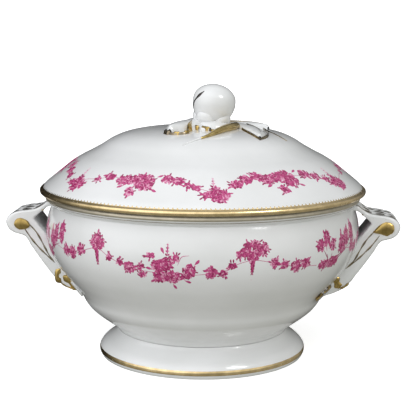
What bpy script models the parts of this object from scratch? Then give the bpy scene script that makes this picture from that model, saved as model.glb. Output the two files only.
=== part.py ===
"""Round porcelain soup tureen: bowl on a flared foot, two scroll handles, and a lid with a fruit finial.

The origin is at the centre of the foot's base, +Z is up, +X runs through the right handle, and
-Y is the front. All sizes are in metres.
"""

import math

import bmesh
import bpy
from mathutils import Vector

# Clearances and turning
GAP = 0.0003                    # joint line between two pieces that touch
TURN_STEPS = 56                 # segments of the large turned pieces
SMALL_TURN_STEPS = 24           # segments of the finial's turned pieces

# Foot
WAIST_RADIUS = 0.0661
FOOT_FLARE = 0.0141             # how far the foot spreads beyond the waist
FOOT_HEIGHT = 0.0204
FOOT_TOE = 0.0017               # how far the base turns in under the foot's edge
FOOT_WALL = 0.0055

# Bowl
BODY_RADIUS = 0.1204            # the belly, which is the widest part of the wall
RIM_HEIGHT = 0.1272
RIM_PROUD = 0.0006              # how far the rim's bead passes the belly
RIM_WIDTH = 0.0100              # from the mouth to the outside of the rim's bead
RIM_BEAD_RADIUS = 0.0027
NECK_INSET = 0.0055             # how far the neck lies inside the rim
NECK_DROP = 0.0082              # how far the neck lies below the rim
BELLY_DROP = 0.0298
FLANK_INSET = 0.0080
FLANK_DROP = 0.0538
SHOULDER_INSET = 0.0266
SHOULDER_RISE = 0.0285          # shoulder above the foot
BULGE_INSET = 0.0330
BULGE_RISE = 0.0185
BOWL_WALL = 0.0045
BOWL_FLOOR = 0.0050

# Lid
LID_OVERHANG = 0.0040           # how far the lid's edge passes the bowl's rim
LIP_THICKNESS = 0.0038
CROWN_RISE = 0.0497             # top of the crown above the seat
BRIM_WIDTH = 0.0800             # from the edge of the crown's flat top to the lid's edge
LID_WALL = 0.0042
SEAT_WIDTH = 0.0085             # flat ring under the lid's edge
FLANGE_CLEARANCE = 0.0015       # between the lid's flange and the bowl's mouth
FLANGE_DEPTH = 0.0080
FLANGE_WALL = 0.0040

# Handles
HANDLE_WIDTH = 0.0380
HANDLE_EDGE = 0.0012            # rounding along the handle's edges
HANDLE_REACH = 0.0306           # from the belly to the outside of the curl
HANDLE_DROP = 0.0242            # middle of the curl below the rim
TERMINAL_LEAF_THICKNESS = 0.0024
TERMINAL_LEAF_WIDTH = 0.0350

# Finial
FRUIT_RADIUS = 0.0166
FRUIT_HEIGHT = 0.0300
FRUIT_OFFSET = (0.0054, 0.0)    # the fruit stands a little to the right of the centre
FRUIT_TILT = math.radians(9.0)
CALYX_DEPTH = 0.0090
CALYX_WALL = 0.0016
STEM_RADIUS = 0.0034
STEM_TIP_RADIUS = 0.0011
LEAF_THICKNESS = 0.0020

# Values that follow from the sizes above
RIM_RADIUS = BODY_RADIUS + RIM_PROUD
MOUTH_RADIUS = RIM_RADIUS - RIM_WIDTH
NECK_RADIUS = RIM_RADIUS - NECK_INSET
NECK_HEIGHT = RIM_HEIGHT - NECK_DROP
LID_SEAT = RIM_HEIGHT + GAP
LID_RADIUS = RIM_RADIUS + LID_OVERHANG
BOWL_BASE = FOOT_HEIGHT + GAP
SHOULDER_RADIUS = BODY_RADIUS - SHOULDER_INSET
CURL_RADIUS = BODY_RADIUS + HANDLE_REACH
CURL_HEIGHT = RIM_HEIGHT - HANDLE_DROP


# ---------------------------------------------------------------- outlines

def smooth(points, steps=3):
    """Points along a centripetal Catmull-Rom curve through the given points."""
    points = [Vector(p) for p in points]
    first = points[0] * 2 - points[1]
    last = points[-1] * 2 - points[-2]
    padded = [first] + points + [last]
    result = []
    for i in range(len(points) - 1):
        p0, p1, p2, p3 = padded[i:i + 4]
        t1 = (p1 - p0).length ** 0.5
        t2 = t1 + (p2 - p1).length ** 0.5
        t3 = t2 + (p3 - p2).length ** 0.5
        for step in range(steps):
            t = t1 + (t2 - t1) * step / steps
            a1 = p0.lerp(p1, t / t1)
            a2 = p1.lerp(p2, (t - t1) / (t2 - t1))
            a3 = p2.lerp(p3, (t - t2) / (t3 - t2))
            b1 = a1.lerp(a2, t / t2)
            b2 = a2.lerp(a3, (t - t1) / (t3 - t1))
            result.append(b1.lerp(b2, (t - t1) / (t2 - t1)))
    result.append(points[-1])
    return result


def offset(points, distance):
    """The line moved sideways, to the right of its direction when distance is positive."""
    moved = []
    for i, point in enumerate(points):
        along = points[min(i + 1, len(points) - 1)] - points[max(i - 1, 0)]
        along.normalize()
        moved.append(point + Vector((along.y, -along.x)) * distance)
    return moved


def arc(centre, radius, start_deg, end_deg, steps):
    """Points on a circle in the profile plane, from one angle to another."""
    angles = [math.radians(start_deg + (end_deg - start_deg) * i / steps) for i in range(steps + 1)]
    return [Vector((centre[0] + radius * math.cos(a), centre[1] + radius * math.sin(a))) for a in angles]


def height_at(line, radius):
    """Height of a line of (radius, height) points at one radius."""
    for near, far in zip(line, line[1:]):
        if near.x <= radius <= far.x:
            return near.y + (far.y - near.y) * (radius - near.x) / (far.x - near.x)
    return line[-1].y


def bowl_outside():
    """Outer side of the bowl from the neck down to the waist."""
    belly = RIM_HEIGHT - BELLY_DROP
    shoulder = FOOT_HEIGHT + SHOULDER_RISE
    return [Vector(station) for station in (
        (NECK_RADIUS, NECK_HEIGHT),
        (BODY_RADIUS - 0.0032, belly + 0.0178),
        (BODY_RADIUS - 0.0010, belly + 0.0105),
        (BODY_RADIUS, belly),
        (BODY_RADIUS - 0.0021, belly - 0.0120),
        (BODY_RADIUS - FLANK_INSET, RIM_HEIGHT - FLANK_DROP),
        (SHOULDER_RADIUS + 0.0105, shoulder + 0.0138),
        (SHOULDER_RADIUS + 0.0041, shoulder + 0.0060),
        (SHOULDER_RADIUS, shoulder),
        (SHOULDER_RADIUS - 0.0025, shoulder - 0.0050),
        (BODY_RADIUS - BULGE_INSET, FOOT_HEIGHT + BULGE_RISE),
        (WAIST_RADIUS + 0.0155, BOWL_BASE + 0.0132),
        (WAIST_RADIUS + 0.0088, BOWL_BASE + 0.0082),
        (WAIST_RADIUS + 0.0026, BOWL_BASE + 0.0036),
        (WAIST_RADIUS, BOWL_BASE),
    )]


def bowl_profile():
    """Closed wall of the bowl: inner floor, inside, rim, outside and underside."""
    outside = bowl_outside()
    floor_height = BOWL_BASE + BOWL_FLOOR
    inside = offset(outside[1:], BOWL_WALL)
    inside = [p for p in inside if p.y > floor_height + BOWL_WALL / 2]
    bead = arc((RIM_RADIUS - RIM_BEAD_RADIUS, RIM_HEIGHT - RIM_BEAD_RADIUS), RIM_BEAD_RADIUS, 90, -90, 6)
    profile = [Vector((0, floor_height)), Vector((inside[-1].x - BOWL_WALL, floor_height))]
    profile += inside[::-1]
    profile += [Vector((MOUTH_RADIUS, NECK_HEIGHT)), Vector((MOUTH_RADIUS, RIM_HEIGHT))]
    profile += bead + outside
    profile.append(Vector((0, BOWL_BASE)))
    return profile


def bowl_envelope():
    """The bowl's outer shape without its hollow, grown by the joint gap, for trimming the handles."""
    grown = offset(bowl_outside(), -GAP)
    bead_centre = (RIM_RADIUS - RIM_BEAD_RADIUS, RIM_HEIGHT - RIM_BEAD_RADIUS)
    bead = arc(bead_centre, RIM_BEAD_RADIUS + GAP, 90, -90, 6)
    low = BOWL_BASE - GAP
    profile = [Vector((0, bead[0].y))] + bead + grown
    profile += [Vector((WAIST_RADIUS + GAP, low)), Vector((0, low))]
    return profile


def foot_profile():
    """Closed ring of the flared, hollow foot."""
    shape = ((0, 1), (0.14, 0.85), (0.40, 0.70), (0.69, 0.56), (0.92, 0.39), (1, 0.26), (0.98, 0.12))
    outside = [Vector((WAIST_RADIUS + FOOT_FLARE * out, FOOT_HEIGHT * up)) for out, up in shape]
    base_radius = WAIST_RADIUS + FOOT_FLARE - FOOT_TOE
    outside.append(Vector((base_radius, 0.0)))
    inside = [p for p in offset(outside, FOOT_WALL) if FOOT_HEIGHT * 0.2 < p.y < FOOT_HEIGHT * 0.9]
    inner_base = Vector((base_radius - FOOT_WALL, 0.0))
    glue_edge = Vector((inside[0].x, FOOT_HEIGHT))
    return outside + [inner_base] + inside[::-1] + [glue_edge]


def lid_outside():
    """Outer side of the lid from the centre of the crown to the top of its lip."""
    crown = LID_RADIUS - BRIM_WIDTH
    top = [(0, 1), (crown / 3, 0.996), (crown * 2 / 3, 0.984), (crown, 0.960)]
    slope = [
        (BRIM_WIDTH - 0.0150, 0.899),
        (BRIM_WIDTH - 0.0250, 0.815),
        (BRIM_WIDTH - 0.0330, 0.714),
        (BRIM_WIDTH - 0.0410, 0.624),
        (BRIM_WIDTH - 0.0490, 0.541),
        (BRIM_WIDTH - 0.0560, 0.451),
        (BRIM_WIDTH - 0.0630, 0.340),
        (BRIM_WIDTH - 0.0700, 0.227),
        (BRIM_WIDTH - 0.0755, 0.137),
    ]
    line = top + [(LID_RADIUS - inset, share) for inset, share in slope]
    outside = [Vector((radius, LID_SEAT + CROWN_RISE * share)) for radius, share in line]
    outside.append(Vector((LID_RADIUS - LIP_THICKNESS / 2, LID_SEAT + LIP_THICKNESS)))
    return outside


def lid_profile():
    """Closed wall of the lid: crown, lip, flat seat, locating flange and underside."""
    outside = lid_outside()
    under = offset(outside, LID_WALL)
    lip = arc((LID_RADIUS - LIP_THICKNESS / 2, LID_SEAT + LIP_THICKNESS / 2), LIP_THICKNESS / 2, 90, -90, 6)
    seat_inner = LID_RADIUS - SEAT_WIDTH
    flange_outer = MOUTH_RADIUS - FLANGE_CLEARANCE
    flange_inner = flange_outer - FLANGE_WALL
    flange_low = LID_SEAT - FLANGE_DEPTH
    seat = [Vector((seat_inner, LID_SEAT)), Vector((seat_inner, height_at(under, seat_inner)))]
    flange = [
        Vector((flange_outer, height_at(under, flange_outer))),
        Vector((flange_outer, flange_low)),
        Vector((flange_inner, flange_low)),
        Vector((flange_inner, height_at(under, flange_inner))),
    ]
    inside = [p for p in under if GAP < p.x < flange_inner - GAP]
    centre = Vector((0, outside[0].y - LID_WALL))
    return outside[:-1] + lip + seat + flange + inside[::-1] + [centre]


def lid_height(x, y):
    """Height of the lid's outer side above a point of the plan."""
    return height_at(lid_outside(), math.hypot(x, y))


def fruit_outline():
    """Right half of the fruit from its top to its foot, about its own axis and from its lowest point."""
    shape = ((0, 1), (0.36, 0.965), (0.68, 0.88), (0.92, 0.73), (1, 0.56), (0.95, 0.39),
             (0.80, 0.22), (0.58, 0.08), (0.32, 0.01), (0, 0))
    return [Vector((FRUIT_RADIUS * out, FRUIT_HEIGHT * up)) for out, up in shape]


def calyx_profile():
    """Closed wall of the cup that holds the fruit."""
    inside = [p for p in offset(fruit_outline(), -GAP) if p.y < CALYX_DEPTH and p.x > GAP]
    outside = offset(inside, -CALYX_WALL)
    inner_low = Vector((0, -GAP))
    outer_low = Vector((0, -GAP - CALYX_WALL))
    return [inner_low] + inside[::-1] + outside + [outer_low]


def handle_outer_line():
    """Side view of the handle from the bowl's neck round the curl to the end of the lower arm."""
    return [Vector(station) for station in (
        (MOUTH_RADIUS, NECK_HEIGHT + 0.0010),
        (MOUTH_RADIUS + 0.0070, NECK_HEIGHT + 0.0012),
        (MOUTH_RADIUS + 0.0110, NECK_HEIGHT - 0.0014),
        (CURL_RADIUS - 0.0235, CURL_HEIGHT + 0.0112),
        (CURL_RADIUS - 0.0170, CURL_HEIGHT + 0.0098),
        (CURL_RADIUS - 0.0110, CURL_HEIGHT + 0.0090),
        (CURL_RADIUS - 0.0056, CURL_HEIGHT + 0.0074),
        (CURL_RADIUS - 0.0015, CURL_HEIGHT + 0.0042),
        (CURL_RADIUS, CURL_HEIGHT - 0.0002),
        (CURL_RADIUS - 0.0018, CURL_HEIGHT - 0.0050),
        (CURL_RADIUS - 0.0055, CURL_HEIGHT - 0.0080),
        (CURL_RADIUS - 0.0100, CURL_HEIGHT - 0.0094),
        (CURL_RADIUS - 0.0144, CURL_HEIGHT - 0.0110),
        (CURL_RADIUS - 0.0200, CURL_HEIGHT - 0.0192),
        (CURL_RADIUS - 0.0262, CURL_HEIGHT - 0.0275),
    )] + terminal_line()


def terminal_line():
    """Outer side of the lower arm's end, where the terminal leaf lies on it."""
    return [Vector(station) for station in (
        (CURL_RADIUS - 0.0330, CURL_HEIGHT - 0.0340),
        (CURL_RADIUS - 0.0382, CURL_HEIGHT - 0.0405),
        (CURL_RADIUS - 0.0434, CURL_HEIGHT - 0.0452),
        (CURL_RADIUS - 0.0486, CURL_HEIGHT - 0.0484),
        (CURL_RADIUS - 0.0542, CURL_HEIGHT - 0.0496),
    )]


def handle_inner_line():
    """Side view of the finger loop, from the lower arm back up to the neck."""
    return [Vector(station) for station in (
        (SHOULDER_RADIUS - 0.0060, CURL_HEIGHT - 0.0480),
        (SHOULDER_RADIUS - 0.0060, CURL_HEIGHT - 0.0180),
        (BODY_RADIUS - 0.0050, CURL_HEIGHT - 0.0130),
        (BODY_RADIUS - 0.0008, CURL_HEIGHT - 0.0088),
        (BODY_RADIUS + 0.0040, CURL_HEIGHT - 0.0028),
        (BODY_RADIUS + 0.0075, CURL_HEIGHT + 0.0016),
        (BODY_RADIUS + 0.0082, CURL_HEIGHT + 0.0034),
        (BODY_RADIUS + 0.0070, CURL_HEIGHT + 0.0052),
        (BODY_RADIUS + 0.0026, CURL_HEIGHT + 0.0092),
        (BODY_RADIUS - 0.0020, CURL_HEIGHT + 0.0132),
        (MOUTH_RADIUS, NECK_HEIGHT - 0.0040),
    )]


# ---------------------------------------------------------------- objects

def clear_scene():
    for obj in list(bpy.data.objects):
        bpy.data.objects.remove(obj, do_unlink=True)


def new_collection(name):
    collection = bpy.data.collections.new(name)
    bpy.context.scene.collection.children.link(collection)
    return collection


def new_material(name, colour, roughness, metallic=0.0):
    material = bpy.data.materials.new(name)
    material.use_nodes = True
    shader = material.node_tree.nodes["Principled BSDF"]
    shader.inputs["Base Color"].default_value = (*colour, 1.0)
    shader.inputs["Roughness"].default_value = roughness
    shader.inputs["Metallic"].default_value = metallic
    return material


def porcelain(name):
    """White glazed porcelain, one material for each sub-part."""
    return new_material(f"{name}_porcelain", (0.86, 0.87, 0.88), 0.12)


def gilding(name):
    """Burnished gold fired over the glaze."""
    return new_material(f"{name}_gilding", (0.72, 0.53, 0.25), 0.28, metallic=1.0)


def add_object(name, data, collection, material, location=(0, 0, 0), rotation=(0, 0, 0), parent=None):
    obj = bpy.data.objects.new(name, data)
    collection.objects.link(obj)
    data.materials.append(material)
    obj.location = location
    obj.rotation_euler = rotation
    obj.parent = parent
    return obj


def shade_round(obj):
    obj.data.shade_smooth()
    obj.data.set_sharp_from_angle(angle=math.radians(35))


def turn(obj, steps):
    """Revolve an object's profile mesh about its own Z axis."""
    screw = obj.modifiers.new("Turn", "SCREW")
    screw.steps = steps
    screw.render_steps = steps
    screw.use_merge_vertices = True
    screw.merge_threshold = 0.0001
    screw.use_smooth_shade = True


def profile_mesh(name, profile, is_ring):
    """A wire in the XZ plane from (radius, height) points."""
    verts = [(p.x, 0.0, p.y) for p in profile]
    edges = [(i, i + 1) for i in range(len(verts) - 1)]
    if is_ring:
        edges.append((len(verts) - 1, 0))
    mesh = bpy.data.meshes.new(name)
    mesh.from_pydata(verts, edges, [])
    return mesh


def turned_object(name, profile, collection, material, steps=TURN_STEPS, is_ring=False, **place):
    obj = add_object(name, profile_mesh(name, profile, is_ring), collection, material, **place)
    turn(obj, steps)
    return obj


def hide_cutter(obj):
    obj.hide_render = True
    obj.display_type = "WIRE"


def outline_object(name, outline, width, collection, material, parent):
    """A slab across Y whose side view in the XZ plane is a closed outline."""
    curve = bpy.data.curves.new(name, "CURVE")
    curve.dimensions = "2D"
    curve.fill_mode = "BOTH"
    curve.extrude = width / 2
    spline = curve.splines.new("POLY")
    spline.points.add(len(outline) - 1)
    for point, place in zip(spline.points, outline):
        point.co = (place.x, place.y, 0.0, 1.0)
    spline.use_cyclic_u = True
    flat = bpy.data.objects.new(name + "_outline", curve)
    collection.objects.link(flat)
    flat.rotation_euler = (math.radians(90), 0, 0)
    flat.parent = parent
    bpy.context.view_layer.update()
    evaluated = flat.evaluated_get(bpy.context.evaluated_depsgraph_get())
    mesh = bpy.data.meshes.new_from_object(evaluated)
    mesh.transform(flat.matrix_local)
    bpy.data.objects.remove(flat, do_unlink=True)
    weld_and_close(mesh)
    return add_object(name, mesh, collection, material, parent=parent)


def weld_and_close(mesh):
    """Join a converted curve's loose caps to its sides, with every face pointing out."""
    bm = bmesh.new()
    bm.from_mesh(mesh)
    bmesh.ops.remove_doubles(bm, verts=bm.verts, dist=1e-6)
    bmesh.ops.dissolve_limit(bm, angle_limit=math.radians(1), verts=bm.verts, edges=bm.edges)
    bmesh.ops.recalc_face_normals(bm, faces=bm.faces)
    bm.to_mesh(mesh)
    bm.free()


def cut(obj, cutter):
    boolean = obj.modifiers.new("Trim", "BOOLEAN")
    boolean.operation = "DIFFERENCE"
    boolean.solver = "EXACT"
    boolean.object = cutter


def round_edges(obj, width):
    bevel = obj.modifiers.new("Round edges", "BEVEL")
    bevel.width = width
    bevel.segments = 2
    bevel.limit_method = "ANGLE"
    bevel.angle_limit = math.radians(50)


def sheet_object(name, rows, thickness, collection, material, parent=None):
    """A leaf: a sheet of point rows, made solid on the side that its normals face."""
    count = len(rows[0])
    verts = [point for row in rows for point in row]
    faces = []
    for i in range(len(rows) - 1):
        for j in range(count - 1):
            corner = i * count + j
            faces.append((corner, corner + 1, corner + count + 1, corner + count))
    mesh = bpy.data.meshes.new(name)
    mesh.from_pydata(verts, [], faces)
    obj = add_object(name, mesh, collection, material, parent=parent)
    solid = obj.modifiers.new("Thickness", "SOLIDIFY")
    solid.thickness = thickness
    solid.offset = 1.0
    shade_round(obj)
    return obj


# ---------------------------------------------------------------- sub-parts

def make_foot(collection):
    turned_object("pedestal_foot", foot_profile(), collection, porcelain("foot"), is_ring=True)


def make_bowl(collection):
    turned_object("bowl", bowl_profile(), collection, porcelain("bowl"))


def make_bowl_cutter(cutters):
    """The trimming shape of the handles: it stands for the bowl, grown by the joint gap."""
    cutter = turned_object("bowl_envelope", bowl_envelope(), cutters, porcelain("cutter"))
    hide_cutter(cutter)
    return cutter


def make_handle(side, turn_deg, collection, cutter):
    """One scroll handle and its terminal leaf, modelled at +X and turned to its side."""
    frame = bpy.data.objects.new(f"handle_{side}_frame", None)
    collection.objects.link(frame)
    frame.rotation_euler = (0, 0, math.radians(turn_deg))

    outline = handle_outer_line() + handle_inner_line()
    name = f"handle_{side}"
    handle = outline_object(name, outline, HANDLE_WIDTH, collection, porcelain(name), frame)
    round_edges(handle, HANDLE_EDGE)
    cut(handle, cutter)

    leaf = terminal_leaf(f"handle_{side}_leaf", collection, frame)
    cut(leaf, cutter)


def terminal_leaf(name, collection, frame):
    """The leaf laid on the end of the lower arm, pointed at its top."""
    line = offset(smooth(terminal_line(), steps=2), -GAP)
    last = len(line) - 1
    rows = []
    for i, point in enumerate(line):
        share = i / last
        half_width = TERMINAL_LEAF_WIDTH / 2 * (0.25 + 0.75 * math.sin(math.pi * min(share + 0.12, 0.75)))
        across = [half_width * (1 - j / 2) for j in range(5)]
        rows.append([(point.x, y, point.y) for y in across])
    return sheet_object(name, rows, TERMINAL_LEAF_THICKNESS, collection, porcelain(name), frame)


def make_lid(collection):
    turned_object("lid", lid_profile(), collection, porcelain("lid"))


def make_fruit(collection):
    """The fruit and its cup share one tilted frame that stands on the lid's crown."""
    x, y = FRUIT_OFFSET
    frame = bpy.data.objects.new("finial_frame", None)
    collection.objects.link(frame)
    lean = CALYX_DEPTH * math.sin(FRUIT_TILT) / 2
    stand = lid_height(x, y) + 2 * GAP + CALYX_WALL + lean
    frame.location = (x, y, stand)
    frame.rotation_euler = (0, FRUIT_TILT, 0)
    turned_object("finial_fruit", fruit_outline(), collection, porcelain("finial_fruit"),
                  steps=SMALL_TURN_STEPS, parent=frame)
    turned_object("finial_calyx", calyx_profile(), collection, porcelain("finial_calyx"),
                  steps=SMALL_TURN_STEPS, parent=frame)


def make_stem(collection):
    """The gilded branch, which lies on the lid and thins towards the front."""
    route = smooth([
        (0.0265, -0.0150),
        (0.0205, -0.0265),
        (0.0115, -0.0400),
        (0.0010, -0.0540),
        (-0.0110, -0.0660),
    ], steps=3)
    curve = bpy.data.curves.new("finial_stem", "CURVE")
    curve.dimensions = "3D"
    curve.bevel_depth = 1.0
    curve.bevel_resolution = 3
    curve.use_fill_caps = True
    spline = curve.splines.new("POLY")
    spline.points.add(len(route) - 1)
    for i, (point, place) in enumerate(zip(spline.points, route)):
        share = i / (len(route) - 1)
        radius = STEM_RADIUS + (STEM_TIP_RADIUS - STEM_RADIUS) * share
        slope_room = radius * 0.12
        point.co = (place.x, place.y, lid_height(*place) + GAP + radius + slope_room, 1.0)
        point.radius = radius
    add_object("finial_stem", curve, collection, gilding("finial_stem"))


def make_finial_leaf(name, midrib, widths, lift, collection):
    """A leaf on the lid's crown. lift is how high its base stands, fading to nothing at its tip."""
    line = smooth(midrib, steps=3)
    spread = smooth(list(enumerate(widths)), steps=3)
    last = len(line) - 1
    rows = []
    for i, point in enumerate(line):
        along = line[min(i + 1, last)] - line[max(i - 1, 0)]
        along.normalize()
        side = Vector((along.y, -along.x))
        row = []
        for j in range(5):
            across = j / 2 - 1
            x, y = point + side * across * spread[i].y
            arch = lift * (1 - i / last) * (1 - across ** 2)
            row.append((x, y, lid_height(x, y) + GAP + arch))
        rows.append(row)
    sheet_object(name, rows, LEAF_THICKNESS, collection, porcelain(name))


def make_finial_leaves(collection):
    make_finial_leaf(
        "finial_leaf_left",
        midrib=[(-0.0095, -0.0030), (-0.0160, -0.0160), (-0.0200, -0.0290), (-0.0210, -0.0430)],
        widths=[0.0060, 0.0125, 0.0130, 0.0050],
        lift=0.0060,
        collection=collection,
    )
    make_finial_leaf(
        "finial_leaf_right",
        midrib=[(0.0280, 0.0050), (0.0375, -0.0030), (0.0430, -0.0170), (0.0445, -0.0380)],
        widths=[0.0050, 0.0075, 0.0075, 0.0030],
        lift=0.0035,
        collection=collection,
    )
    make_finial_leaf(
        "finial_leaf_back",
        midrib=[(0.0010, 0.0180), (-0.0040, 0.0270), (-0.0090, 0.0380), (-0.0110, 0.0500)],
        widths=[0.0060, 0.0120, 0.0110, 0.0035],
        lift=0.0045,
        collection=collection,
    )


def main():
    clear_scene()
    tureen = new_collection("soup_tureen")
    cutters = new_collection("cutters")
    make_foot(tureen)
    make_bowl(tureen)
    cutter = make_bowl_cutter(cutters)
    make_handle("right", 0, tureen, cutter)
    make_handle("left", 180, tureen, cutter)
    make_lid(tureen)
    make_fruit(tureen)
    make_stem(tureen)
    make_finial_leaves(tureen)


main()
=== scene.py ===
# Looks of the porcelain soup tureen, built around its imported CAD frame.
# Metres, +Z up. +X runs through the right handle and -Y is the front.
import random
from bisect import bisect_left
from math import cos, hypot, pi, radians, sin, sqrt

import bmesh
import bpy
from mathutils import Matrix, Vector


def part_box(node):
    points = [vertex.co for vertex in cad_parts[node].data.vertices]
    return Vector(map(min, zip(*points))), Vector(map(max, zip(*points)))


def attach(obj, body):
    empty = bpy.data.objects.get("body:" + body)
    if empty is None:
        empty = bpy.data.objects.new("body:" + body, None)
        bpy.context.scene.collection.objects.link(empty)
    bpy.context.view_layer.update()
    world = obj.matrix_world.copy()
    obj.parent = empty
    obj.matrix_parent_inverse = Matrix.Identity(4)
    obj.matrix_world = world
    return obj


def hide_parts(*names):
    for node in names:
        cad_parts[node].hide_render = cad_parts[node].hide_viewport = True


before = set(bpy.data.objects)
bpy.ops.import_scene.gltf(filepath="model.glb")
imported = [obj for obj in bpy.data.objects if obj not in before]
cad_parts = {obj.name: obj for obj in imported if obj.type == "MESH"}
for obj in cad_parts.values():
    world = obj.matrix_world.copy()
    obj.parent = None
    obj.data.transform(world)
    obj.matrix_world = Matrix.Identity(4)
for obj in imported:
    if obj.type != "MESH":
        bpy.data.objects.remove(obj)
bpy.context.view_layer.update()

MM = 0.001

# -------- sizes, most of them from the frame

BOWL_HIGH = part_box("bowl")[1]
LID_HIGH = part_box("lid")[1]
FOOT_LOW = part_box("pedestal_foot")[0]
HANDLE_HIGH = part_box("handle_right")[1]
FRUIT_LOW, FRUIT_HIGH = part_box("finial_fruit")

TURN_STEPS = 240  # segments round the large turned pieces
STATION = 1.3 * MM  # spacing of the points along a smooth outline
CORNER = radians(38)  # a sharper turn than this is a corner of the outline
CORNER_ROUNDING = 0.5 * MM  # the glaze softens each corner by this much
GILDING = 0.07 * MM  # how far gold stands above the glaze
ENAMEL = 0.09 * MM  # how far a dab of enamel stands above the glaze
SUNK = 0.04 * MM  # how far the edge of gold or enamel lies under the surface

CURL_X = HANDLE_HIGH.x
CURL_Z = BOWL_HIGH.z - 24.2 * MM  # middle of the handle's outer curl
HANDLE_HALF = HANDLE_HIGH.y

CAMERA_DISTANCE = 0.875
CAMERA_TURN = radians(3.5)  # towards the right handle
CAMERA_HEIGHT = BOWL_HIGH.z + 128.3 * MM
CAMERA_PITCH = radians(9.2)
CAMERA_YAW = radians(3.32)
CAMERA_ROLL = radians(-0.35)
CAMERA_LENS = 99.07


# -------- outlines

def cad_outline(node):
    """(radius, height) points in order along a turned CAD node, where it crosses the half-plane y = 0."""
    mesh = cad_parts[node].data
    on_plane = {}
    for vertex in mesh.vertices:
        if abs(vertex.co.y) < 0.001 * MM and vertex.co.x > -0.001 * MM:
            on_plane[vertex.index] = (round(vertex.co.x, 6), round(vertex.co.z, 6))
    links = {}
    for edge in mesh.edges:
        a, b = (on_plane.get(index) for index in edge.vertices)
        if a and b and a != b:
            links.setdefault(a, set()).add(b)
            links.setdefault(b, set()).add(a)
    ends = [point for point, near in links.items() if len(near) == 1]
    line = [max(ends or links, key=lambda point: (point[1], point[0]))]
    while True:
        onward = sorted(links[line[-1]] - set(line))
        if not onward:
            break
        line.append(onward[-1])
    if not ends:
        line.append(line[0])
    return [Vector(point) for point in line]


def spline(points, steps):
    """Points on a centripetal Catmull-Rom curve; steps gives how many lie on each of its stretches."""
    padded = [points[0] * 2 - points[1]] + list(points) + [points[-1] * 2 - points[-2]]
    result = []
    for i, count in enumerate(steps):
        p0, p1, p2, p3 = padded[i:i + 4]
        t1 = (p1 - p0).length ** 0.5
        t2 = t1 + (p2 - p1).length ** 0.5
        t3 = t2 + (p3 - p2).length ** 0.5
        for step in range(count):
            t = t1 + (t2 - t1) * step / count
            a1 = p0.lerp(p1, t / t1)
            a2 = p1.lerp(p2, (t - t1) / (t2 - t1))
            a3 = p2.lerp(p3, (t - t2) / (t3 - t2))
            b1 = a1.lerp(a2, t / t2)
            b2 = a2.lerp(a3, (t - t1) / (t3 - t1))
            result.append(b1.lerp(b2, (t - t1) / (t2 - t1)))
    result.append(points[-1])
    return result


def smooth(points, spacing):
    """A smooth curve through the points, with its own points about one spacing apart."""
    points = [Vector(p) for p in points]
    if len(points) < 3:
        return points
    return spline(points, [max(1, round((q - p).length / spacing)) for p, q in zip(points, points[1:])])


def refined(line):
    """A coarse outline made smooth between its corners, with each corner a little rounded."""
    runs = [[line[0]]]
    for before, point, after in zip(line, line[1:], line[2:]):
        runs[-1].append(point)
        if (point - before).angle(after - point) > CORNER:
            runs.append([point])
    runs[-1].append(line[-1])
    runs = [smooth(run, STATION) for run in runs]
    result = list(runs[0][:-1])
    for run_in, run_out in zip(runs, runs[1:]):
        corner = run_out[0]
        back, ahead = run_in[-2] - corner, run_out[1] - corner
        reach = min(CORNER_ROUNDING, back.length / 2, ahead.length / 2)
        start, end = corner + back.normalized() * reach, corner + ahead.normalized() * reach
        for share in (0.0, 0.33, 0.67, 1.0):
            result.append(start.lerp(corner, share).lerp(corner.lerp(end, share), share))
        result += run_out[1:-1]
    result.append(line[-1])
    return result


class Side:
    """The outer side of a turned piece. A place on it is an azimuth from the front (towards +X) and a
    distance along the outline."""

    def __init__(self, line):
        self.line = line
        self.distance = [0.0]
        for a, b in zip(line, line[1:]):
            self.distance.append(self.distance[-1] + (b - a).length)

    def where(self, value, axis):
        """Distance along the outline where its radius (axis 0) or height (axis 1) has this value."""
        for i, (a, b) in enumerate(zip(self.line, self.line[1:])):
            low, high = sorted((a[axis], b[axis]))
            if low <= value <= high and high > low:
                return self.distance[i] + (b - a).length * (value - a[axis]) / (b[axis] - a[axis])
        raise ValueError("the outline does not reach this value")

    def at(self, distance):
        """Outline point and outward normal at a distance along the outline."""
        distance = min(max(distance, 0.0), self.distance[-1])
        i = max(1, min(bisect_left(self.distance, distance), len(self.line) - 1))
        a, b = self.line[i - 1], self.line[i]
        along = (b - a).normalized()
        share = (distance - self.distance[i - 1]) / (b - a).length
        return a.lerp(b, share), Vector((-along.y, along.x))

    def around(self, azimuth, distance):
        """The surface round a place: x metres to the right, y metres up the outline, and a lift off it."""
        radius = self.at(distance)[0].x

        def surface(x, y, lift):
            place, normal = self.at(distance - y)
            place = place + normal * lift
            angle = azimuth + x / radius
            return Vector((place.x * sin(angle), -place.x * cos(angle), place.y))

        return surface


# -------- meshes

def grid_faces(rows, columns, round_rows=False, round_columns=False):
    """Faces over rows of vertices; the grid may close up along either direction."""
    faces = []
    for row in range(rows if round_rows else rows - 1):
        here, there = row * columns, (row + 1) % rows * columns
        for k in range(columns if round_columns else columns - 1):
            beside = (k + 1) % columns
            faces.append((here + k, there + k, there + beside, here + beside))
    return faces


def make_mesh(name, vertices, faces, closed=True):
    """A mesh with coinciding vertices joined, and with the faces of a closed body turned outwards."""
    mesh = bpy.data.meshes.new(name)
    mesh.from_pydata([tuple(v) for v in vertices], [], faces)
    work = bmesh.new()
    work.from_mesh(mesh)
    bmesh.ops.remove_doubles(work, verts=work.verts, dist=0.002 * MM)
    if closed:
        bmesh.ops.recalc_face_normals(work, faces=work.faces)
    work.to_mesh(mesh)
    work.free()
    return mesh


def new_object(name, data):
    thing = bpy.data.objects.new(name, data)
    bpy.context.scene.collection.objects.link(thing)
    return thing


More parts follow.
